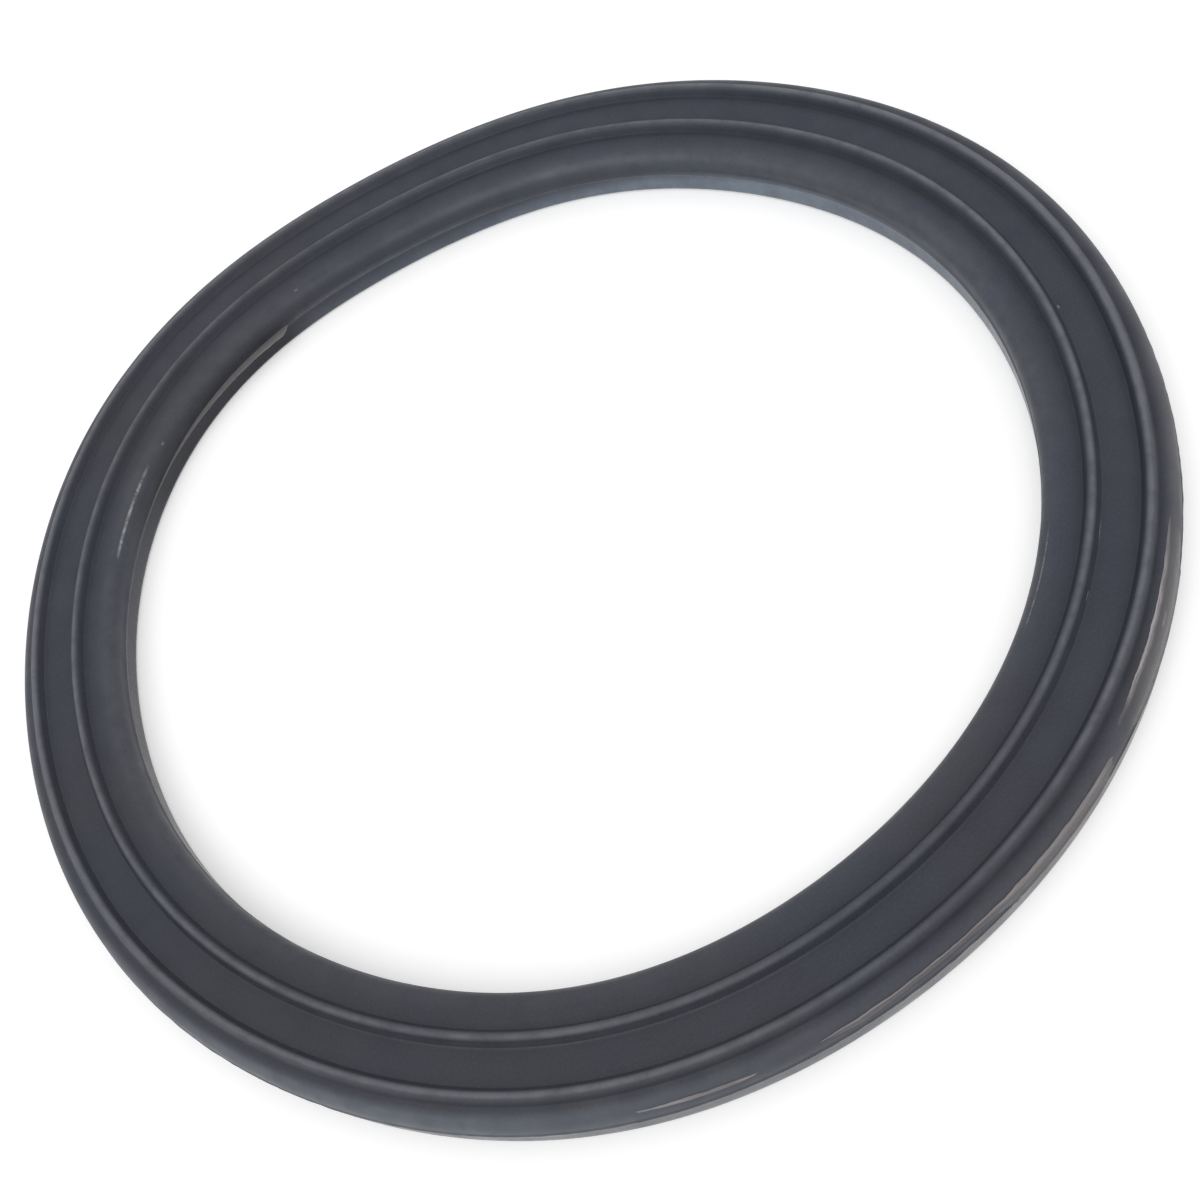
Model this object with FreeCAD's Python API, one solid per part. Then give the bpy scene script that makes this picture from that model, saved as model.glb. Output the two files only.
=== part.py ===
"""Bowl gasket: one moulded rubber ring with two sealing ribs on its upper face.

Millimetres, +Z up. The origin is on the ring's axis at the level of the flat underside,
so the gasket lies on z = 0 with its ribs up, as it comes to rest.

The body is one closed section turned about the axis. Round the section from the underside
come the bore wall, the rounded inner shoulder, the flat lands, the large outer round, the
bead that the mould's parting line leaves, and the drafted lower wall. The two ribs are
turned in the same way from a rounded wedge that reaches down into the body, so the outer
rib stands on the outer round as well as on the land.
"""

import FreeCAD
import Part

import math
import os

# Across the ring, from the bore outwards
BORE_DIAMETER = 144.0
INNER_LAND = 6.6          # bore wall to the middle rib's crest
RIB_PITCH = 7.7           # middle rib's crest to the outer rib's crest
OUTER_LAND = 3.5          # outer rib's crest to the outer wall

# Heights above the underside
BODY_HEIGHT = 7.7         # to the flat lands between the ribs
RIB_HEIGHT = 1.3          # a rib's crest above the lands
PARTING_HEIGHT = 4.4      # the mould's parting line

# Form of a rib
FLANK_ANGLE = 35.0        # degrees from the vertical, on each side
CREST_ROUND = 0.7
RIB_ROOT = 1.0            # how deep a rib's section reaches into the body

# Edges and mould marks
SHOULDER_ROUND = 1.6      # inner upper edge
OUTER_ROUND = 3.0         # outer upper edge, nearly down to the parting bead
PARTING_BEAD = 0.2        # how far the bead stands out of the outer wall
LOWER_DRAFT = 2.0         # degrees, the outer wall's lean under the bead

UP = FreeCAD.Vector(0, 0, 1)
ORIGIN = FreeCAD.Vector(0, 0, 0)
HALF_TURN = 180.0
STRAIGHT_LEFT = 0.05      # least share of an edge that stays straight between two rounds


def round_shares(points, reaches):
    """How much of its round each corner keeps, so that two rounds never overlap on one edge."""
    count = len(points)
    shares = [1.0] * count
    for i in range(count):
        j = (i + 1) % count
        room = (1 - STRAIGHT_LEFT) * points[i].distanceToPoint(points[j])
        wanted = reaches[i] + reaches[j]
        if wanted > room:
            shares[i] = min(shares[i], room / wanted)
            shares[j] = min(shares[j], room / wanted)
    return shares


def rounded_wire(corners):
    """A closed wire in the XZ plane through corners (radius, height, round), each a tangent arc."""
    count = len(corners)
    points = [FreeCAD.Vector(radius, 0, height) for radius, height, _ in corners]
    to_last = [(points[i - 1] - points[i]).normalize() for i in range(count)]
    to_next = [(points[(i + 1) % count] - points[i]).normalize() for i in range(count)]
    half_turns = [(math.pi - back.getAngle(on)) / 2 for back, on in zip(to_last, to_next)]
    reaches = [corner[2] * math.tan(half) for corner, half in zip(corners, half_turns)]
    reaches = [reach * share for reach, share in zip(reaches, round_shares(points, reaches))]

    starts = [points[i] + to_last[i] * reaches[i] for i in range(count)]
    ends = [points[i] + to_next[i] * reaches[i] for i in range(count)]
    edges = []
    for i in range(count):
        if reaches[i] > 0:
            inward = (to_last[i] + to_next[i]).normalize()
            middle = points[i] + inward * reaches[i] * math.tan(half_turns[i] / 2)
            edges.append(Part.Arc(starts[i], middle, ends[i]).toShape())
        edges.append(Part.LineSegment(ends[i], starts[(i + 1) % count]).toShape())
    return Part.Wire(edges)


def turned(corners):
    """The two half rings that a section makes when it is turned about the axis."""
    front = Part.Face(rounded_wire(corners)).revolve(ORIGIN, UP, HALF_TURN)
    rear = front.copy()
    rear.rotate(ORIGIN, UP, HALF_TURN)
    return [front, rear]


def rib_crest_radii():
    middle_rib = BORE_DIAMETER / 2 + INNER_LAND
    return middle_rib, middle_rib + RIB_PITCH


def make_body():
    bore = BORE_DIAMETER / 2
    outer_wall = rib_crest_radii()[-1] + OUTER_LAND
    base_edge = outer_wall - PARTING_HEIGHT * math.tan(math.radians(LOWER_DRAFT))
    return turned([
        (bore, 0, 0),
        (bore, BODY_HEIGHT, SHOULDER_ROUND),
        (outer_wall, BODY_HEIGHT, OUTER_ROUND),
        (outer_wall, PARTING_HEIGHT + PARTING_BEAD, 0),
        (outer_wall + PARTING_BEAD, PARTING_HEIGHT, 0),
        (outer_wall, PARTING_HEIGHT - PARTING_BEAD, 0),
        (base_edge, 0, 0),
    ])


def make_rib(crest_radius):
    flank = math.radians(FLANK_ANGLE)
    apex = BODY_HEIGHT + RIB_HEIGHT + CREST_ROUND * (1 / math.sin(flank) - 1)
    root = BODY_HEIGHT - RIB_ROOT
    half_root = (apex - root) * math.tan(flank)
    return turned([
        (crest_radius - half_root, root, 0),
        (crest_radius, apex, CREST_ROUND),
        (crest_radius + half_root, root, 0),
    ])


def make_gasket_ring():
    halves = make_body()
    for crest_radius in rib_crest_radii():
        halves += make_rib(crest_radius)
    return halves[0].fuse(halves[1:])


def main():
    os.makedirs("parts", exist_ok=True)
    make_gasket_ring().exportStep("parts/gasket_ring.step")


main()
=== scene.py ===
"""Looks of the bowl gasket: the moulded ring as it lies in the photograph, with its mould flash.

gasket_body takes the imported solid's place with a finer mesh, laid along the soft ring's free
shape. Its section is the solid's, with some values fitted closer to the photograph. Four thin
closed sheets are the flash that tore off unevenly along the mould's parting line. Lengths are in
millimetres until placed() puts a point into the frame. Directions round the ring are angles
from +X, and the photograph is taken from -Y.
"""

import math

import bpy
from mathutils import Matrix, Vector, noise


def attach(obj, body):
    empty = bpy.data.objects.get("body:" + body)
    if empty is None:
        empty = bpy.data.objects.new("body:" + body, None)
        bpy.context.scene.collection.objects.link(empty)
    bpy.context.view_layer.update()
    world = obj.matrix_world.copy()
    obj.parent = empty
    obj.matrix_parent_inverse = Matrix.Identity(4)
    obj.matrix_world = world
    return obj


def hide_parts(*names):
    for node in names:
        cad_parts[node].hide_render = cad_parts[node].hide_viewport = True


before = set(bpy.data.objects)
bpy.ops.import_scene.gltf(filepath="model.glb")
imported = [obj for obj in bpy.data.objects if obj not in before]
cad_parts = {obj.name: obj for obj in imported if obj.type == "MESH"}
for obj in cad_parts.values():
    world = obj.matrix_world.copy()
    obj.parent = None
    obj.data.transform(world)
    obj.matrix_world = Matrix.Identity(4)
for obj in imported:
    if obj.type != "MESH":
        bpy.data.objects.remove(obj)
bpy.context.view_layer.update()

MM = 0.001
FULL_TURN = 2 * math.pi

# The section: radii from the axis, and heights above the underside
BORE = 72.0                     # bore wall
WALL = 90.4                     # outer wall
RIBS = (78.8, 86.4)             # crests of the middle and the outer rib
PITCH = RIBS[1] - RIBS[0]
TOP = 7.7                       # lands beside the ribs
CREST = 9.0                     # crests of the ribs
PARTING = 4.4                   # parting line on the outer wall
BORE_PARTING = 3.98             # parting line in the bore

# Its rounds, slopes and mould marks
FLANK = math.radians(31.0)      # a rib's flanks, from the vertical
CREST_ROUND = 0.8
FOOT_BLEND = 0.12               # how softly a flank meets the land
SHOULDER = 2.1                  # round of the inner shoulder
OUTER = 2.9                     # the large outer round
BASE = 0.9                      # round of both lower edges
DRAFT = math.radians(2.0)       # lean of the outer wall under its bead
BEAD = 0.2                      # how far the outer parting bead stands out
BEAD_FLAT = 0.06                # half height of that bead's blunt edge
BEAD_RAGGED = 0.07              # unevenness of that edge round the ring
BORE_BEAD = 0.13                # how far the bore's parting bead stands out

# How finely the section is cut up
STEPS = 600                     # sections round the ring
ROUND_END = 62                  # degrees up the outer round, where the outer rib takes over
CREST_HALF = 0.76               # half width of a crest, cut evenly round a half turn
FLANK_CUTS = (0.90, 0.96, 1.02, 1.08, 1.14, 1.21)   # from a crest
LAND_CUTS = (1.3, 1.6, 2.2)     # from a crest
WALL_CUT = 1.3                  # lowest cut of the straight walls

# The soft ring's free shape: how far its line leaves a true circle, as rows of even bulges
# (how many round the ring, their height, the direction of the first in degrees)
LINE_BULGES = ((3, 0.844, 11.6), (4, 0.426, 40.9), (5, 0.218, -17.7),
               (6, 0.240, 6.5), (7, 0.066, 9.4), (8, 0.055, -21.7))
# and how much wider or narrower the soft section lies, over one rib pitch
WIDTH_BULGES = ((1, 0.692, 48.0), (2, 0.249, 74.5), (3, 0.060, 8.9),
                (4, 0.078, 28.0), (5, 0.016, -27.5))

# Parts of the section that are marked apart
ABOVE_BEADS = 4.5               # height over both parting beads
UPPER_FACE = 7.0                # height over which a point is on the upper face
BORE_SIDE = (BORE + 2, TOP - 0.3)           # radius and height that bound the bore's side
BEAD_REACH = 0.26               # from the bore's parting line to past its bead

# Where the paler bands, worn and painted light, lie on the section: distance of its middle, and
# half width
CREST_WEAR_AND_HIGHLIGHT = (0.04, 0.45)        # from a crest
PAINTED_LIGHT_FOOT = (0.95, 0.32)       # from a crest, towards the other rib
SHOULDER_HIGHLIGHT = (1.0, 1.9)       # from the bore wall
EDGE_HIGHLIGHT = (0.75, 0.7)          # from the bore wall, a narrower line on the shoulder
# and the radii between which a band comes up: the painted highlight low on the outer round, the
# paler far round, and the painted sheens
WALL_HIGHLIGHT = (WALL - 1.9, WALL - 1.1)
ROUND_PALER = (RIBS[1] + 0.8, RIBS[1] + 1.4)
OUTER_SHEEN = (WALL - 2.4, WALL - 0.9)
INNER_SHEEN = (BORE + 3.0, BORE + 1.0)

# Painted shade along the ribs' feet: distance from a crest, half widths towards the crest and the
# land
FOOT = 1.12
INNER_FOOT_WIDTHS = (0.36, 0.95)
OUTER_FOOT_WIDTHS = (0.30, 0.65)

# Scuffs on the upper face: direction and length in degrees, radius, half width, strength
SCUFFS = (
    (145.2, 15.0, 72.95, 0.32, 0.80),
    (-44.0, 14.0, 73.3, 0.14, 0.45),
    (-45.2, 1.4, 79.9, 0.10, 0.60),
    (-37.7, 2.2, 80.0, 0.10, 0.50),
    (134.2, 0.6, 72.6, 0.22, 0.45),
    (-9.4, 0.5, 80.4, 0.20, 0.60),
    (105.9, 0.6, 73.5, 0.25, 0.30),
)

# Flash
FLASH_STEP = 0.2                # degrees between two rows
FLASH_COLUMNS = 12              # across a piece on the outer wall
LIP_COLUMNS = 6                 # across the lip in the bore
FLASH_SUNK = 0.08               # how deep its back or its root lies in the rubber
LIP_ROOT = 0.22                 # the lip's half thickness at its root
LIP_EDGE = 0.06                 # and at its torn edge
LIP_DROOP = 0.20                # how far its torn edge hangs, for each millimetre it stands out
LEAST_THICK = 0.05              # of a piece on the outer wall
TUCKED = 0.03                   # how far its face lies in the wall where it has faded out
OVER_BEAD = (0.26, 0.3)         # its extra thickness over the parting bead, and the half height
END_WIDTH = 0.15                # share of its width that is left at both ends
END_SHARE = 1 / 30              # share of its length that an end about takes to widen

# Colours, linear
BROWNISH = (0.0310, 0.0295, 0.0370, 1)      # the rubber's two tints
BLUISH = (0.0230, 0.0275, 0.0465, 1)
DARKER = (0.0220, 0.0240, 0.0350, 1)        # its patches
LIGHTER = (0.0330, 0.0355, 0.0500, 1)
SPECKLE = (0.0550, 0.0580, 0.0700, 1)
# worn, and painted highlights
WORN_AND_HIGHLIT = (0.1150, 0.1190, 0.1340, 1)
# dusting and painted sheen, tinted by painted warm and cool light
WARM_LIT_DUST = (0.3000, 0.2830, 0.2720, 1)
COOL_LIT_DUST = (0.1700, 0.2050, 0.2550, 1)
# painted shade and shadow, and a stain
SHADE_AND_GRIME = (0.0040, 0.0060, 0.0110, 1)
SCUFFED = (0.3600, 0.3550, 0.3500, 1)
FLASH_DARK = (0.0400, 0.0400, 0.0470, 1)
FLASH_PALE = (0.2400, 0.2120, 0.2100, 1)
FLASH_TORN = (0.5000, 0.4550, 0.4600, 1)
PAPER = (0.88, 0.862, 0.845, 1)

# The studio
DAYLIGHT = (0.96, 0.98, 1.0)
WORLD_LIGHT = 0.78              # strength on the object
WORLD_SEEN = 1.04               # strength as the background
FLOOR_LIFT = 0.31               # what the floor adds where it is seen, to reach full white
FLOOR_HALF = 20                 # metres
LAMP_AT = (-0.45, -0.75, 1.2)   # metres
LAMP_SIDE = 1.2                 # metres
LAMP_POWER = 7.0                # watts

# The camera, fitted to the photograph
CAMERA_ELEVATION = 0.9581       # radians
CAMERA_ROLL = -0.5033           # radians
CAMERA_PLACE = (8.548, -14.398, 235.67)     # right, up and back from the axis at the crests
FOCAL_LENGTH = 47.336           # millimetres, as the sensor
SENSOR_WIDTH = 36.0

# Sockets of a Mix node that mixes colours
MIX_INPUTS = (0, 6, 7)
MIX_RESULT = 2


# The section as a line of points

def bulges(rows, angle):
    """What rows of even bulges add up to at one angle of the ring."""
    return sum(height * math.cos(count * (angle - math.radians(first)))
               for count, height, first in rows)


def placed(radius, height, angle):
    """A point of the section, in metres, where the ring's free shape puts it."""
    radius += bulges(LINE_BULGES, angle) + (radius - RIBS[0]) / PITCH * bulges(WIDTH_BULGES, angle)
    return Vector((radius * math.cos(angle), radius * math.sin(angle), height)) * MM


def spaced(start, end, count):
    """Evenly spaced values over this many steps, with both ends."""
    return [start + (end - start) * i / count for i in range(count + 1)]


def arc(centre, radius, start, end, count):
    """Points on an arc of the section, with angles in degrees from the outward direction."""
    turns = [math.radians(turn) for turn in spaced(start, end, count)]
    return [(centre[0] + radius * math.cos(t), centre[1] + radius * math.sin(t)) for t in turns]


def body_top(radius):
    """Height of the upper face without its ribs."""
    if radius < BORE + SHOULDER:
        return TOP - SHOULDER + math.sqrt(max(SHOULDER ** 2 - (BORE + SHOULDER - radius) ** 2, 0))
    if radius > WALL - OUTER:
        return TOP - OUTER + math.sqrt(max(OUTER ** 2 - (radius - WALL + OUTER) ** 2, 0))
    return TOP


def rib_top(offset):
    """Height of a rib at this distance from its crest line: a round between two flat flanks."""
    reach = CREST_ROUND * math.cos(FLANK)
    offset = abs(offset)
    if offset < reach:
        return CREST - CREST_ROUND + math.sqrt(CREST_ROUND ** 2 - offset ** 2)
    start = CREST - CREST_ROUND + CREST_ROUND * math.sin(FLANK)
    return start - (offset - reach) / math.tan(FLANK)


def blended(a, b, reach):
    """The higher of two heights, with a soft corner where they meet."""
    near = max(reach - abs(a - b), 0) / reach
    return max(a, b) + near * near * reach / 4


def top_height(radius):
    height = body_top(radius)
    for crest in RIBS:
        height = blended(height, rib_top(radius - crest), FOOT_BLEND)
    return height


def outer_side():
    """From the lower outer edge up the drafted wall, over the bead and up the outer round."""
    lean = PARTING * math.tan(DRAFT)
    low = PARTING - BEAD
    points = arc((WALL - BASE - lean, BASE), BASE, -90, 2, 6)[1:]
    points += [(WALL - lean * (low - z) / PARTING, z) for z in spaced(WALL_CUT, low - 0.15, 4)]
    points += [(WALL + 0.02, low), (WALL + 0.8 * BEAD, PARTING - BEAD_FLAT),
               (WALL + BEAD, PARTING),
               (WALL + 0.8 * BEAD, PARTING + BEAD_FLAT), (WALL + 0.02, PARTING + BEAD)]
    return points + arc((WALL - OUTER, TOP - OUTER), OUTER, 0, ROUND_END, 11)


def upper_radii(start):
    """Radii across the upper face from this one inwards, close together on the ribs."""
    middle, outer = RIBS
    near, far, open_land = LAND_CUTS
    radii = spaced(start, outer + near, 2)
    for crest in (outer, middle):
        radii += [crest + cut for cut in reversed(FLANK_CUTS)]
        radii += [crest + CREST_HALF * math.cos(turn) for turn in spaced(0, math.pi, 14)]
        radii += [crest - cut for cut in FLANK_CUTS + (near, far)]
        if crest == outer:
            radii += spaced(outer - open_land, middle + open_land, 4)
            radii += [middle + far, middle + near]
    return radii + spaced(middle - open_land, BORE + SHOULDER + 0.4, 3)


def inner_side():
    """Over the inner shoulder, down the bore wall with its bead, and round the lower edge."""
    points = arc((BORE + SHOULDER, TOP - SHOULDER), SHOULDER, 90, 180, 12)
    points += [(BORE, 4.9), (BORE, BORE_PARTING + 0.24),
               (BORE - BORE_BEAD, BORE_PARTING + 0.05), (BORE - BORE_BEAD, BORE_PARTING - 0.05),
               (BORE, BORE_PARTING - 0.16)]
    points += [(BORE, z) for z in spaced(3.4, WALL_CUT, 3)]
    return points + arc((BORE + BASE, BASE), BASE, 180, 270, 6)[:-1]


def section():
    """The closed section, anticlockwise seen with the axis on the left: (radius, height) points."""
    points = [(radius, 0.0) for radius in spaced(BORE + BASE, WALL - BASE - 0.16, 5)]
    points += outer_side()
    last = points[-1][0]
    points += [(radius, top_height(radius)) for radius in upper_radii(last - 0.15)]
    return points + inner_side()


POINTS = section()
LENGTHS = [0.0]
for here, after in zip(POINTS, POINTS[1:] + POINTS[:1]):
    LENGTHS.append(LENGTHS[-1] + math.dist(here, after))
GIRTH = LENGTHS[-1]


def along(radius):
    """Where a radius of the upper face lies in the section's length, from 0 to 1."""
    upper = [(abs(p[0] - radius), length) for p, length in zip(POINTS, LENGTHS) if p[1] > 5.0]
    (gap_a, a), (gap_b, b) = sorted(upper)[:2]
    return (a * gap_b + b * gap_a) / (gap_a + gap_b) / GIRTH


def share_at(radius, height):
    """Where the section's nearest point to this one lies in its length, from 0 to 1."""
    nearest = min(range(len(POINTS)), key=lambda i: math.dist(POINTS[i], (radius, height)))
    return LENGTHS[nearest] / GIRTH


# Marks on the ring

def bump_at(offset, width):
    """A smooth bump, 1 in its middle."""
    return math.exp(-(offset / width) ** 2)


def ramp(value, start, end):
    """0 at the start, 1 at the end, straight between them."""
    return min(max((value - start) / (end - start), 0), 1)


def ripple(angle, scale, seed):
    """Smooth noise along the ring, from -1 to 1."""
    return noise.noise(Vector((math.cos(angle) * scale, math.sin(angle) * scale, seed)))


def lobe(angle, centre, sharpness):
    """A smooth swell round the ring, 1 at its centre in degrees."""
    return math.exp(sharpness * (math.cos(angle - math.radians(centre)) - 1))


def swells(angle, *rows):
    """Several lobes added up: (strength, centre in degrees, sharpness) rows."""
    return sum(strength * lobe(angle, centre, sharpness) for strength, centre, sharpness in rows)


def foot_line(offset, place, widths):
    """Painted shade at this distance from a crest, with a width towards the crest and one to the
    land.
    """
    towards_crest, towards_land = widths
    return bump_at(offset - place, towards_land if offset > place else towards_crest)


class Around:
    """How worn, dusty and dirty each part of the section is at one angle of the ring, with the
    light and shade painted on it.
    """

    def __init__(self, angle):
        degrees = math.degrees(angle) % 360
        right, front, back = lobe(angle, 12, 4.0), lobe(angle, -64, 4.0), lobe(angle, 92, 3.0)
        foot = lobe(angle, 8, 2.2)
        # The stretch of bore that lies beside the inner flash, with the flash's painted shadow on
        # it
        self.lee = ramp(degrees, 106, 111) * ramp(degrees, 150, 138)

        # Paler crests (middle rib, outer rib): worn, with a painted highlight that changes round
        # the ring as the light falls
        crest = (0.95 + 0.17 * math.cos(2 * angle) + 0.05 * ripple(angle, 3, 31.0)
                 + swells(angle, (-0.42, -78, 22.0), (0.15, 0, 12.0), (0.15, -135, 6.0)))
        self.crests = (crest - 0.16 * lobe(angle, 105, 8.0), 1.28 * crest)
        # Painted light at two of the ribs' feet, lifting their shade
        self.painted_light_feet = (swells(angle, (0.26, -120, 12.0), (0.22, -38, 6.0)),
                           0.15 * (1 - lobe(angle, 8, 2.0)))
        # Painted highlights on the inner shoulder, down to a height, and the worn bore bead
        self.shoulder = 0.20 * (1 + right - 0.25 * back + 0.9 * lobe(angle, 165, 3.0))
        self.shoulder_low = 5.5 - 1.0 * right
        self.edge = 0.28 * lobe(angle, 64, 12.0)
        self.bead = 0.35 + 0.65 * ramp(degrees, 72, 80) * ramp(degrees, 111, 109)
        # and on the outer side: a painted highlight on the round's lower part, and the whole round
        # paler on the far side
        self.wall = 0.08 + 0.80 * lobe(angle, -137, 9.0)
        self.round = 0.20 * back

        # Painted sheen on the outer round and the inner shoulder, cool on the near left
        self.outer_sheen = 0.02 + swells(angle, (0.16, -32, 7.0), (0.17, -120, 9.0))
        self.inner_sheen = 0.07 * lobe(angle, 62, 4.0)
        # and on the lower walls, dusting with a painted reflection of the pale floor: how much,
        # from what height, and how far down until it is full
        self.inner_dust_and_reflection = (1 - self.lee) * (
            0.35 + 0.20 * math.cos(angle - 0.4) + 0.45 * lobe(angle, 50, 6.0))
        self.inner_from = BORE_PARTING - 0.50 + 0.80 * right + 0.9 * lobe(angle, 40, 10.0)
        self.inner_depth = 3.6 - 2.8 * right
        self.outer_dust_and_reflection = 0.08 + 0.15 * front
        self.outer_from = PARTING - 0.15 + 0.65 * front
        self.outer_depth = 3.6 - 2.8 * front

        # Painted shade and the inner flash's painted shadow on the bore's upper wall, and a stain
        # all over the upper and outer faces
        self.shade = max(0.95 * self.lee, 0.35 * lobe(angle, 88, 6.0))
        self.stain = 0.20 * lobe(angle, -148, 5.0)
        # and painted shade along the ribs' inner and outer feet (middle rib, outer rib), heavier
        # and set further out on the right where the inner flanks are shaded
        self.inner_feet = (0.28 + 0.66 * foot, 0.10 + 0.85 * foot)
        self.outer_feet = (0.12 + 0.25 * lobe(angle, 60, 3.0),
                           0.24 + 0.50 * foot + swells(angle, (0.60, -82, 5.0), (0.15, -20, 6.0)))
        self.foot_set = FOOT + 0.26 * lobe(angle, 0, 8.0)

    def wear_and_highlight(self, radius, height):
        """Paler marks: the worn bore bead, painted highlights on the outer side and the inner
        shoulder with a paler far round, worn crests with a painted highlight, and painted light at
        the ribs' feet.
        """
        if radius < BORE + 0.01 and abs(height - BORE_PARTING) < BEAD_REACH:
            return self.bead * (1.0 if radius < BORE - BORE_BEAD / 2 else 0.6)
        if height < PARTING - BEAD / 2:
            return 0.0
        wear_and_highlight = max(self.wall * ramp(radius, *WALL_HIGHLIGHT), self.round * ramp(radius, *ROUND_PALER))
        if height > ABOVE_BEADS:
            shoulder = self.shoulder * bump_at(radius - BORE - SHOULDER_HIGHLIGHT[0], SHOULDER_HIGHLIGHT[1])
            shoulder += self.edge * bump_at(radius - BORE - EDGE_HIGHLIGHT[0], EDGE_HIGHLIGHT[1])
            low = self.shoulder_low
            wear_and_highlight = max(wear_and_highlight, shoulder * ramp(height, low, low + 1.2))
            for crest, rubbed_and_highlit, painted_lift, towards in zip(RIBS, self.crests, self.painted_light_feet, (1, -1)):
                offset = radius - crest
                wear_and_highlight = max(wear_and_highlight, rubbed_and_highlit * bump_at(offset - CREST_WEAR_AND_HIGHLIGHT[0], CREST_WEAR_AND_HIGHLIGHT[1]),
                           painted_lift * bump_at(offset - towards * PAINTED_LIGHT_FOOT[0], PAINTED_LIGHT_FOOT[1]))
        return wear_and_highlight

    def dust_and_sheen(self, radius, height):
        """Pale marks: dusting on the underside, dusting with a painted reflection of the pale floor
        on the lower walls, and painted sheen on the shoulder and outer round.
        """
        if height < 0.02:
            return 0.3
        if radius < RIBS[0]:
            low = ramp(height, self.inner_from, self.inner_from - self.inner_depth)
            return max(self.inner_dust_and_reflection * low, self.inner_sheen * ramp(radius, *INNER_SHEEN))
        low = ramp(height, self.outer_from, self.outer_from - self.outer_depth)
        return max(self.outer_dust_and_reflection * low, self.outer_sheen * ramp(radius, *OUTER_SHEEN))

    def dirt_and_shade(self, radius, height):
        """Dark marks: painted shade and the inner flash's painted shadow on the bore wall, painted
        shade along each foot of the ribs, and one wide stain.
        """
        if radius < BORE_SIDE[0] and height < BORE_SIDE[1]:
            # the inner flash's painted shadow below the parting line, painted shade above it
            if height < BORE_PARTING:
                return 0.75 * self.lee
            return self.shade * ramp(height, BORE_SIDE[1], 4.8)
        dark = self.stain
        if height >= UPPER_FACE:
            for crest, inner, outer in zip(RIBS, self.inner_feet, self.outer_feet):
                offset = radius - crest
                dark = max(dark, inner * foot_line(-offset, self.foot_set, INNER_FOOT_WIDTHS),
                           outer * foot_line(offset, FOOT, OUTER_FOOT_WIDTHS))
        return dark


# Meshes

def bridge(a, b, count):
    """Faces between two closed rows of this many points, which start at a and at b."""
    return [(a + i, b + i, b + (i + 1) % count, a + (i + 1) % count) for i in range(count)]


def marked_mesh(name, vertices, faces, uvs, marks):
    """A smooth mesh with a UV for each face corner, and marks as its colour attribute."""
    mesh = bpy.data.meshes.new(name)
    mesh.from_pydata(vertices, [], faces)
    layer = mesh.uv_layers.new(name="ring")
    for corner, uv in zip(layer.data, uvs):
        corner.uv = uv
    colours = mesh.color_attributes.new("wear_and_highlight", "FLOAT_COLOR", "POINT")
    for point, mark in zip(colours.data, marks):
        point.color = mark
    mesh.shade_smooth()
    mesh.update()
    return mesh


def ring_mesh():
    """The whole ring: the section at each step, marked with how worn, dusty and dirty it is and
    with painted light and shade.
    """
    count = len(POINTS)
    vertices, faces, uvs, marks = [], [], [], []
    for j in range(STEPS):
        angle = FULL_TURN * j / STEPS
        ragged, here = ripple(angle, 60, 0.0), Around(angle)
        for radius, height in POINTS:
            marks.append((here.wear_and_highlight(radius, height), here.dust_and_sheen(radius, height),
                          here.dirt_and_shade(radius, height), 1))
            if radius > WALL + BEAD / 2:
                radius += BEAD_RAGGED * ragged
            vertices.append(placed(radius, height, angle))
        faces += bridge(j * count, (j + 1) % STEPS * count, count)
        for i in range(count):
            corners = (j, i), (j + 1, i), (j + 1, i + 1), (j, i + 1)
            uvs += [(u / STEPS, LENGTHS[v] / GIRTH) for u, v in corners]
    return marked_mesh("gasket_body", vertices, faces, uvs, marks)


def sheet_mesh(name, rows, marks):
    """A thin closed sheet from (angle, outer points, inner points) rows.

    marks(u, v) gives how pale and how torn it is, u along the sheet and v across it.
    """
    width = len(rows[0][1])
    loop = 2 * width
    last = (len(rows) - 1) * loop
    vertices, faces, colours = [], [], []
    for j, (angle, outer, inner) in enumerate(rows):
        vertices += [placed(radius, height, angle) for radius, height in outer + inner[::-1]]
        for column in range(loop):
            across = min(column, loop - 1 - column) / (width - 1)
            colours.append((*marks(j / (len(rows) - 1), across), 0, 1))
    for a in range(0, last, loop):
        faces += bridge(a, a + loop, loop)
    for i in range(width - 1):
        faces.append((i, i + 1, loop - 2 - i, loop - 1 - i))
        faces.append((last + i + 1, last + i, last + loop - 1 - i, last + loop - 2 - i))
    corners = [divmod(index, loop) for face in faces for index in face]
    uvs = [(rows[j][0] / FULL_TURN % 1, column / loop) for j, column in corners]
    return marked_mesh(name, vertices, faces, uvs, colours)


def shares_and_angles(start, end):
    """Rows of a piece of flash: its share from 0 to 1, and its angle round the ring."""
    for share in spaced(0, 1, round(abs(end - start) / FLASH_STEP)):
        yield share, math.radians(start + (end - start) * share)


def outer_skin(rise, proud):
    """A point at this rise from the outer parting line, up the wall and over the outer round."""
    straight = TOP - OUTER - PARTING
    if rise < straight:
        return WALL + proud, PARTING + rise
    turn = (rise - straight) / OUTER
    reach = OUTER + proud
    return WALL - OUTER + reach * math.cos(turn), TOP - OUTER + reach * math.sin(turn)


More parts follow.
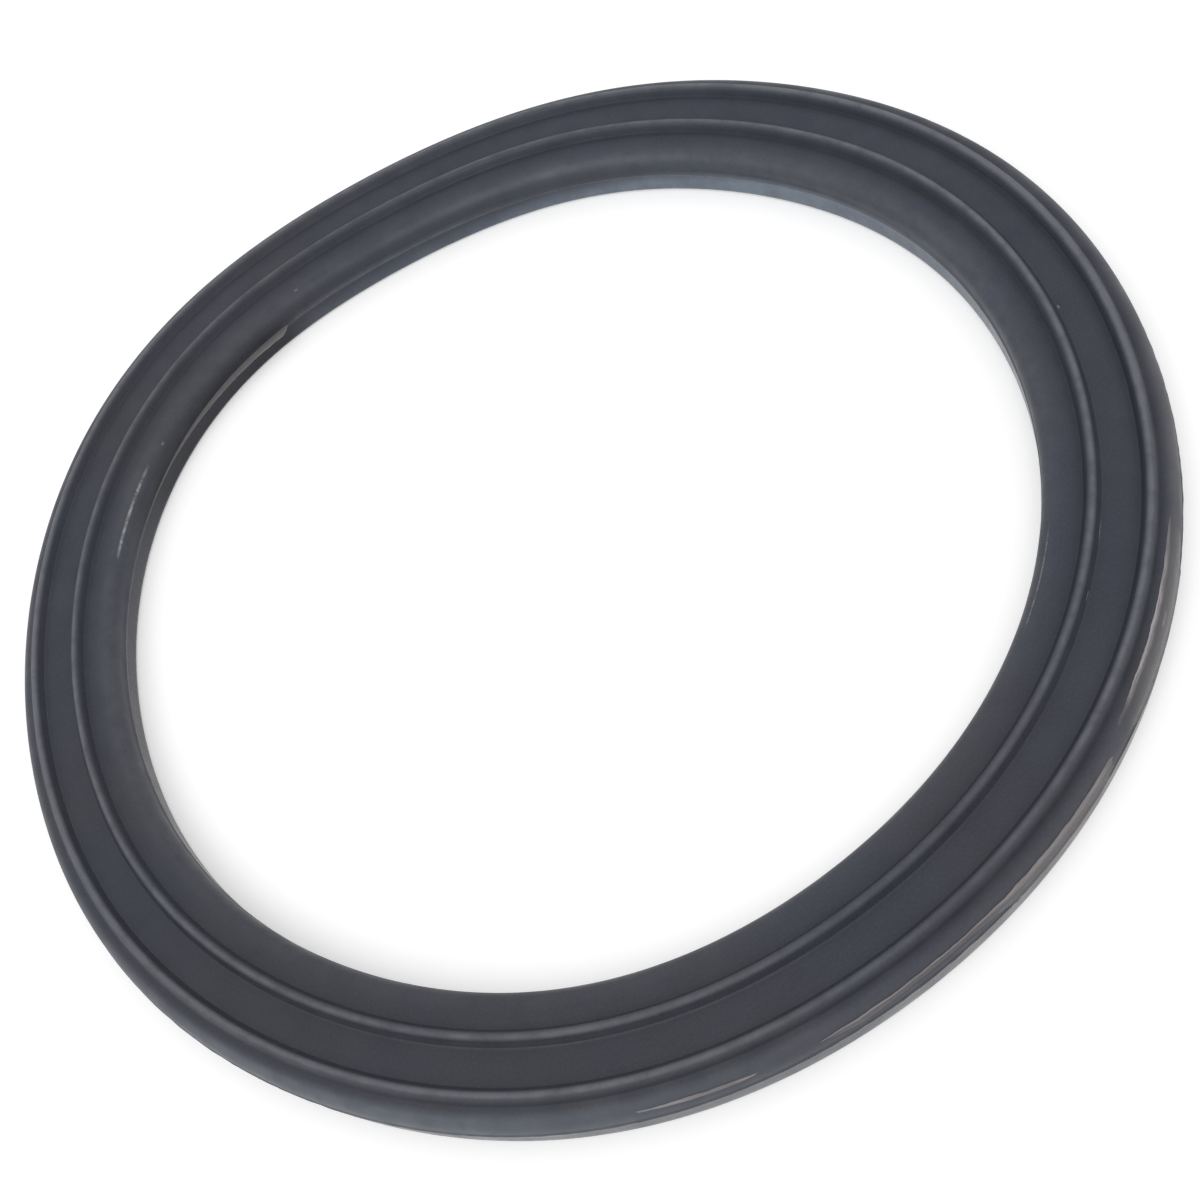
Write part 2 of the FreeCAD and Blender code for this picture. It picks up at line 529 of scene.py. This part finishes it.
def outer_flash(name, start, end, low, high, proud, fade, marks, seed):
    """Flash that lies on the outer wall, from the low rise to the high rise above its parting line.

    low, high, proud (how far its torn edge stands off) and fade (1 for full thickness) are
    functions of the share from the start to the end.
    """
    rows = []
    for share, angle in shares_and_angles(start, end):
        bottom = low(share) + 0.05 * ripple(angle, 60, seed)
        top = high(share) + 0.10 * ripple(angle, 40, seed + 5) + 0.06 * ripple(angle, 150, seed + 9)
        middle = (bottom + top) / 2
        narrow = min(1, END_WIDTH + min(share, 1 - share) / END_SHARE)
        bottom, top = middle + (bottom - middle) * narrow, middle + (top - middle) * narrow
        outer, inner = [], []
        for k in range(FLASH_COLUMNS + 1):
            part = (k / FLASH_COLUMNS) ** 0.75
            rise = bottom + (top - bottom) * part
            swell = (0.3 + 0.7 * part ** 6) * (1 + 0.35 * ripple(angle, 150, seed + k))
            thick = LEAST_THICK + proud(share) * swell + OVER_BEAD[0] * bump_at(rise, OVER_BEAD[1])
            outer.append(outer_skin(rise, thick * fade(share) - TUCKED))
            inner.append(outer_skin(rise, -FLASH_SUNK))
        rows.append((angle, outer, inner))
    return sheet_mesh(name, rows, marks)


def inner_flash(name, start, end, reach, marks, seed):
    """Flash that stands in from the bore's parting line, a thin lip with a drooping torn edge."""
    rows = []
    for share, angle in shares_and_angles(start, end):
        uneven = 1 + 0.10 * ripple(angle, 70, seed) + 0.06 * ripple(angle, 240, seed + 3)
        out = reach(share) * uneven
        outer, inner = [], []
        for part in spaced(0, 1, LIP_COLUMNS):
            radius = BORE + FLASH_SUNK - (out + FLASH_SUNK) * part
            middle = BORE_PARTING - 0.06 - LIP_DROOP * out * part ** 2
            half = LIP_EDGE + (LIP_ROOT - LIP_EDGE) * (1 - part)
            outer.append((radius, middle + half))
            inner.append((radius, middle - half))
        rows.append((angle, outer, inner))
    return sheet_mesh(name, rows, marks)


def stepped(*points):
    """A function of a share from 0 to 1 that runs straight between (share, value) points."""
    def value(share):
        for (a, u), (b, v) in zip(points, points[1:]):
            if share <= b:
                return u + (v - u) * (share - a) / (b - a)
        return points[-1][1]
    return value


# Materials

class Nodes:
    """Short ways to add nodes. A value is a number, a colour, or the output of another node."""

    def __init__(self, tree):
        self.tree = tree

    def put(self, socket, value):
        """Sets a socket to a number or colour, or links another node's output to it."""
        if isinstance(value, (int, float, tuple)):
            socket.default_value = value
        else:
            self.tree.links.new(value, socket)

    def add(self, kind, inputs=None):
        node = self.tree.nodes.new(kind)
        for name, value in (inputs or {}).items():
            self.put(node.inputs[name], value)
        return node

    def calc(self, operation, *values):
        node = self.add("ShaderNodeMath")
        node.operation = operation
        for socket, value in zip(node.inputs, values):
            self.put(socket, value)
        return node.outputs[0]

    def spread(self, value, low, high, start, end):
        """start where the value is low or less, end where it is high or more."""
        node = self.add("ShaderNodeMapRange", {"Value": value, "From Min": low, "From Max": high,
                                               "To Min": start, "To Max": end})
        return node.outputs["Result"]

    def mixed(self, factor, a, b):
        node = self.add("ShaderNodeMix")
        node.data_type = "RGBA"
        for socket, value in zip(MIX_INPUTS, (factor, a, b)):
            self.put(node.inputs[socket], value)
        return node.outputs[MIX_RESULT]

    def noise(self, vector, scale, detail, roughness=0.5):
        node = self.add("ShaderNodeTexNoise", {"Vector": vector, "Scale": scale,
                                               "Detail": detail, "Roughness": roughness})
        return node.outputs["Fac"]

    def bump(self, height, strength, distance, under=None):
        """A bump's normal, laid over the one under it."""
        node = self.add("ShaderNodeBump", {"Height": height, "Strength": strength,
                                           "Distance": distance})
        if under is not None:
            self.put(node.inputs["Normal"], under)
        return node.outputs["Normal"]

    def marks(self):
        """The mesh's marks: worn with painted highlights, dusty with painted sheen and reflection,
        dirty with painted shade; or pale and torn on the flash.
        """
        node = self.add("ShaderNodeVertexColor")
        node.layer_name = "wear_and_highlight"
        split = self.add("ShaderNodeSeparateColor", {"Color": node.outputs["Color"]})
        return [split.outputs[name] for name in ("Red", "Green", "Blue")]


def new_material(name):
    material = bpy.data.materials.new(name)
    material.use_nodes = True
    tree = material.node_tree
    return material, Nodes(tree), tree.nodes["Principled BSDF"]


def rubber_material():
    """Moulded rubber with drifting tint, patches, speckle and grain, and the ring's marks with
    their painted light and shade.
    """
    material, nodes, shader = new_material("moulded_rubber")
    calc, spread, mixed = nodes.calc, nodes.spread, nodes.mixed
    coords = nodes.add("ShaderNodeTexCoord").outputs
    uv = nodes.add("ShaderNodeSeparateXYZ", {0: coords["UV"]}).outputs
    wear_and_highlight, dust_and_sheen, dirt_and_shade = nodes.marks()

    def cloud(scale, detail, roughness=0.5):
        return nodes.noise(coords["Object"], scale, detail, roughness)

    def around(degrees):
        """The cosine of the angle round the ring from this direction."""
        return calc("COSINE", calc("MULTIPLY", calc("SUBTRACT", uv["X"], degrees / 360), FULL_TURN))

    # The rubber itself
    drift = calc("MULTIPLY_ADD", around(50), 0.5, 0.1)
    drift = calc("SUBTRACT", drift, spread(around(122), 0.90, 0.99, 0, 0.45))
    tint = mixed(calc("ADD", drift, spread(cloud(26, 3), 0.40, 0.62, 0, 0.8)), BROWNISH, BLUISH)
    patches = mixed(spread(cloud(150, 5, 0.6), 0.36, 0.66, 0, 1), DARKER, LIGHTER)
    base = mixed(0.4, tint, patches)
    base = mixed(spread(cloud(2600, 3, 0.7), 0.46, 0.74, 0, 0.45), base, SPECKLE)

    # Worn marks with painted highlights, and grime with painted shade, each broken up by a cloud
    rubbed_and_highlit = calc("MULTIPLY", wear_and_highlight, spread(cloud(330, 4, 0.6), 0.3, 0.62, 0.45, 1.0))
    base = mixed(rubbed_and_highlit, base, WORN_AND_HIGHLIT)
    grimy_and_shaded = calc("MULTIPLY", dirt_and_shade, spread(cloud(260, 4, 0.6), 0.3, 0.6, 0.65, 0.95))
    base = mixed(grimy_and_shaded, base, SHADE_AND_GRIME)

    # Pale marks, dusting with painted sheen and painted floor reflection, in painted warm light
    # where the surface faces the right (round the left of the bore and the near right of the outer
    # side), cool elsewhere
    dusty_and_sheen = calc("MULTIPLY", dust_and_sheen, spread(cloud(240, 5, 0.65), 0.35, 0.62, 0.72, 1.0))
    inside = spread(uv["Y"], 0.60, 0.62, 0, 1)
    cool_inside = calc("MULTIPLY", inside, spread(around(172), 0.96, 0.75, 0, 1))
    outside = calc("SUBTRACT", 1, inside)
    cool_outside = calc("MULTIPLY", outside, spread(around(-42), 0.9, 0.55, 0, 1))
    base = mixed(dusty_and_sheen, base, mixed(calc("ADD", cool_inside, cool_outside), WARM_LIT_DUST, COOL_LIT_DUST))

    patchy = spread(cloud(900, 4, 0.7), 0.38, 0.58, 0.15, 1)
    for direction, length, radius, width, strength in SCUFFS:
        across = calc("ABSOLUTE", calc("SUBTRACT", uv["Y"], along(radius)))
        side = spread(across, 0.3 * width / GIRTH, width / GIRTH, 1, 0)
        away = calc("ABSOLUTE", calc("SUBTRACT", uv["X"], direction / 360 % 1))
        end = spread(away, 0.6 * length / 720, length / 720, 1, 0)
        mark = calc("MULTIPLY", calc("MULTIPLY", side, end), calc("MULTIPLY", patchy, strength))
        base = mixed(mark, base, SCUFFED)
    nodes.put(shader.inputs["Base Color"], base)

    # The lower mould half leaves a smoother face, on both sides
    outer_line, bore_line = share_at(WALL + BEAD, PARTING), share_at(BORE, BORE_PARTING)
    lower = calc("MAXIMUM", spread(uv["Y"], outer_line + 0.002, outer_line - 0.003, 0, 1),
                 spread(uv["Y"], bore_line - 0.002, bore_line + 0.003, 0, 1))
    matt = spread(cloud(220, 4), 0.3, 0.7, 0.42, 0.58)
    nodes.put(shader.inputs["Roughness"], calc("SUBTRACT", matt, calc("MULTIPLY", lower, 0.24)))
    shader.inputs["Specular IOR Level"].default_value = 0.38

    grain = nodes.bump(cloud(2600, 3, 0.6), 0.5, 0.00005)
    nodes.put(shader.inputs["Normal"], nodes.bump(cloud(420, 3), 0.35, 0.0001, grain))
    return material


def flash_material():
    """Thin flash: smoother than the upper faces, streaked along the ring, pale where it tore."""
    material, nodes, shader = new_material("flash_rubber")
    coords = nodes.add("ShaderNodeTexCoord").outputs
    stretch = nodes.add("ShaderNodeMapping", {"Vector": coords["UV"], "Scale": (190, 60, 1)})
    streaks = nodes.noise(stretch.outputs[0], 1.0, 5)
    pale, torn, _ = nodes.marks()
    pale = nodes.calc("MULTIPLY", pale, nodes.spread(streaks, 0.34, 0.62, 0.60, 1.1))
    torn = nodes.calc("MULTIPLY", torn, nodes.spread(streaks, 0.36, 0.56, 0.35, 1.0))
    base = nodes.mixed(torn, nodes.mixed(pale, FLASH_DARK, FLASH_PALE), FLASH_TORN)
    nodes.put(shader.inputs["Base Color"], base)
    shader.inputs["Roughness"].default_value = 0.34
    shader.inputs["Specular IOR Level"].default_value = 0.4
    nodes.put(shader.inputs["Normal"], nodes.bump(streaks, 0.5, 0.0001))
    return material


def seen_directly(nodes):
    """1 on the rays that show a background: the camera's own, mirrored and passed ones."""
    path = nodes.add("ShaderNodeLightPath").outputs
    seen = nodes.calc("MAXIMUM", path["Is Camera Ray"], path["Is Glossy Ray"])
    return nodes.calc("MAXIMUM", seen, path["Is Transmission Ray"])


def floor_material():
    """White paper. Where it is seen directly it is lifted to full white, and shadows stay."""
    material, nodes, shader = new_material("white_floor")
    nodes.tree.nodes.remove(shader)
    lift = nodes.calc("MULTIPLY", seen_directly(nodes), FLOOR_LIFT)
    paper = nodes.add("ShaderNodeBsdfDiffuse", {"Color": PAPER})
    glow = nodes.add("ShaderNodeEmission", {"Strength": lift})
    total = nodes.add("ShaderNodeAddShader", {0: paper.outputs[0], 1: glow.outputs[0]})
    nodes.put(nodes.tree.nodes["Material Output"].inputs["Surface"], total.outputs[0])
    return material


# Objects, light and camera

def add_object(name, data):
    thing = bpy.data.objects.new(name, data)
    bpy.context.scene.collection.objects.link(thing)
    return thing


def add_piece(mesh, material):
    """One piece of the gasket, named as its mesh."""
    mesh.materials.append(material)
    thing = add_object(mesh.name, mesh)
    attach(thing, "root")
    return thing


def set_world():
    """An even, slightly cool studio, white where it is seen as the background."""
    world = bpy.data.worlds.new("studio")
    bpy.context.scene.world = world
    world.use_nodes = True
    nodes = Nodes(world.node_tree)
    background = nodes.tree.nodes["Background"].inputs
    background["Color"].default_value = (*DAYLIGHT, 1)
    strength = nodes.spread(seen_directly(nodes), 0, 1, WORLD_LIGHT, WORLD_SEEN)
    nodes.put(background["Strength"], strength)


def set_lamp():
    lamp = bpy.data.lights.new("overhead", "AREA")
    lamp.shape = "RECTANGLE"
    lamp.size = lamp.size_y = LAMP_SIDE
    lamp.energy = LAMP_POWER
    lamp.color = DAYLIGHT
    thing = add_object("overhead", lamp)
    thing.location = LAMP_AT
    thing.rotation_euler = (-Vector(LAMP_AT)).to_track_quat("-Z", "Y").to_euler()


def set_camera():
    """The photograph's view: from the near side, rolled, with the crests' level as its origin."""
    back = Vector((0, -math.cos(CAMERA_ELEVATION), math.sin(CAMERA_ELEVATION)))
    up = Vector((0, math.sin(CAMERA_ELEVATION), math.cos(CAMERA_ELEVATION)))
    right = Vector((1, 0, 0))
    across = right * math.cos(CAMERA_ROLL) + up * math.sin(CAMERA_ROLL)
    upright = up * math.cos(CAMERA_ROLL) - right * math.sin(CAMERA_ROLL)
    place = Vector((0, 0, CREST))
    for direction, distance in zip((across, upright, back), CAMERA_PLACE):
        place += direction * distance
    lens = bpy.data.cameras.new("camera")
    lens.sensor_width = SENSOR_WIDTH
    lens.lens = FOCAL_LENGTH
    lens.clip_start = 0.01
    camera = add_object("camera", lens)
    turn = Matrix((across, upright, back)).transposed().to_4x4()
    camera.matrix_world = Matrix.Translation(place * MM) @ turn
    bpy.context.scene.camera = camera


# The gasket: its body, then the four pieces of flash

ring = add_piece(ring_mesh(), rubber_material())
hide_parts("gasket_ring")

# Marks of the flash, as (pale, torn): u runs from its start to its end, v up to its torn edge
low_pale = stepped((0, 0.28), (0.22, 0.30), (0.40, 0.32), (0.52, 0.26), (0.75, 0.22), (1, 0.16))
face = stepped((0, 0), (0.2, 0.45), (0.35, 1), (0.78, 1), (0.95, 0.5), (1, 0.1))
ridge = stepped((0, 0), (0.17, 0.20), (0.22, 0.6), (0.35, 1), (0.63, 1), (0.69, 0.7),
                (0.85, 0.6), (1, 0.1))
spots = stepped((0, 0.7), (0.12, 1), (0.35, 0.9), (0.6, 0.6), (0.78, 0.55), (0.86, 1), (1, 0.6))


def marks_a(u, v):
    """A broad pale face, one paler streak in it, and a torn ridge along the top."""
    streak = 0.8 if 0.53 < u < 0.59 and 0.46 < v < 0.56 else 0.0
    return max(low_pale(v) * face(u), streak), ridge(u) * ramp(v, 0.78, 1)


def marks_b(u, v):
    """Paler towards the top, and fading at its far end."""
    here = 0.2 + 0.8 * ramp(u, 1, 0.93)
    return (0.30 + 0.36 * ramp(v, 0.5, 0.78)) * here, 0.30 * ramp(v, 0.6, 0.9) * (1 - 0.4 * u)


def marks_c(u, v):
    """A narrow sliver, pale in spots."""
    return 0.85 * spots(u), 0.25 * spots(u)


def marks_inner(u, v):
    """An even lip, paler at its root and torn only near its start."""
    root = ramp(v, 0.35, 0.05) * ramp(u, 0.12, 0.25)
    return 0.48 + 0.25 * root, 0.14 * ramp(v, 0.7, 1) * ramp(u, 0.2, 0.1)


flash = flash_material()
add_piece(outer_flash(
    "flash_outer_a", -58.6, -35.4,
    low=stepped((0, 0.6), (0.25, -0.1), (0.78, -0.1), (0.93, 1.4), (1, 3.1)),
    high=stepped((0, 2.8), (0.12, 3.5), (0.3, 3.85), (0.9, 3.8), (1, 3.6)),
    proud=stepped((0, 0.02), (0.25, 0.07), (1, 0.07)),
    fade=stepped((0, 0), (0.3, 1), (0.82, 1), (1, 0.2)),
    marks=marks_a, seed=2.0), flash)
add_piece(outer_flash(
    "flash_outer_b", -91.2, -58.0,
    low=stepped((0, 1.8), (0.1, 1.1), (0.25, 1.5), (0.42, 1.6), (0.5, 1.2), (0.58, -0.3),
                (1, -0.3)),
    high=stepped((0, 2.0), (0.15, 2.2), (0.34, 2.3), (1, 2.25)),
    proud=stepped((0, 0.12), (1, 0.12)),
    fade=stepped((0, 1), (0.9, 1), (1, 0)),
    marks=marks_b, seed=7.0), flash)
add_piece(outer_flash(
    "flash_outer_c", -106.4, -96.2,
    low=stepped((0, 2.05), (0.25, 1.9), (0.7, 1.7), (1, 1.8)),
    high=stepped((0, 2.25), (0.5, 2.35), (0.8, 2.2), (1, 2.0)),
    proud=stepped((0, 0.09), (1, 0.09)),
    fade=stepped((0, 0.2), (0.15, 1), (0.8, 1), (1, 0.2)),
    marks=marks_c, seed=11.0), flash)
add_piece(inner_flash(
    "flash_inner", 109.8, 150.0,
    reach=stepped((0, 0.15), (0.02, 0.8), (0.04, 1.2), (0.12, 1.1), (0.32, 0.85), (0.5, 0.55),
                  (0.62, 0.3), (0.8, 0.18), (1, 0.04)),
    marks=marks_inner, seed=17.0), flash)

# The floor, the light and the view

ground = bpy.data.meshes.new("floor")
ground.from_pydata([(-FLOOR_HALF, -FLOOR_HALF, 0), (FLOOR_HALF, -FLOOR_HALF, 0),
                    (FLOOR_HALF, FLOOR_HALF, 0), (-FLOOR_HALF, FLOOR_HALF, 0)], [], [(0, 1, 2, 3)])
ground.materials.append(floor_material())
floor = add_object("floor", ground)

set_world()
set_lamp()
set_camera()
bpy.context.scene.view_settings.view_transform = "Standard"
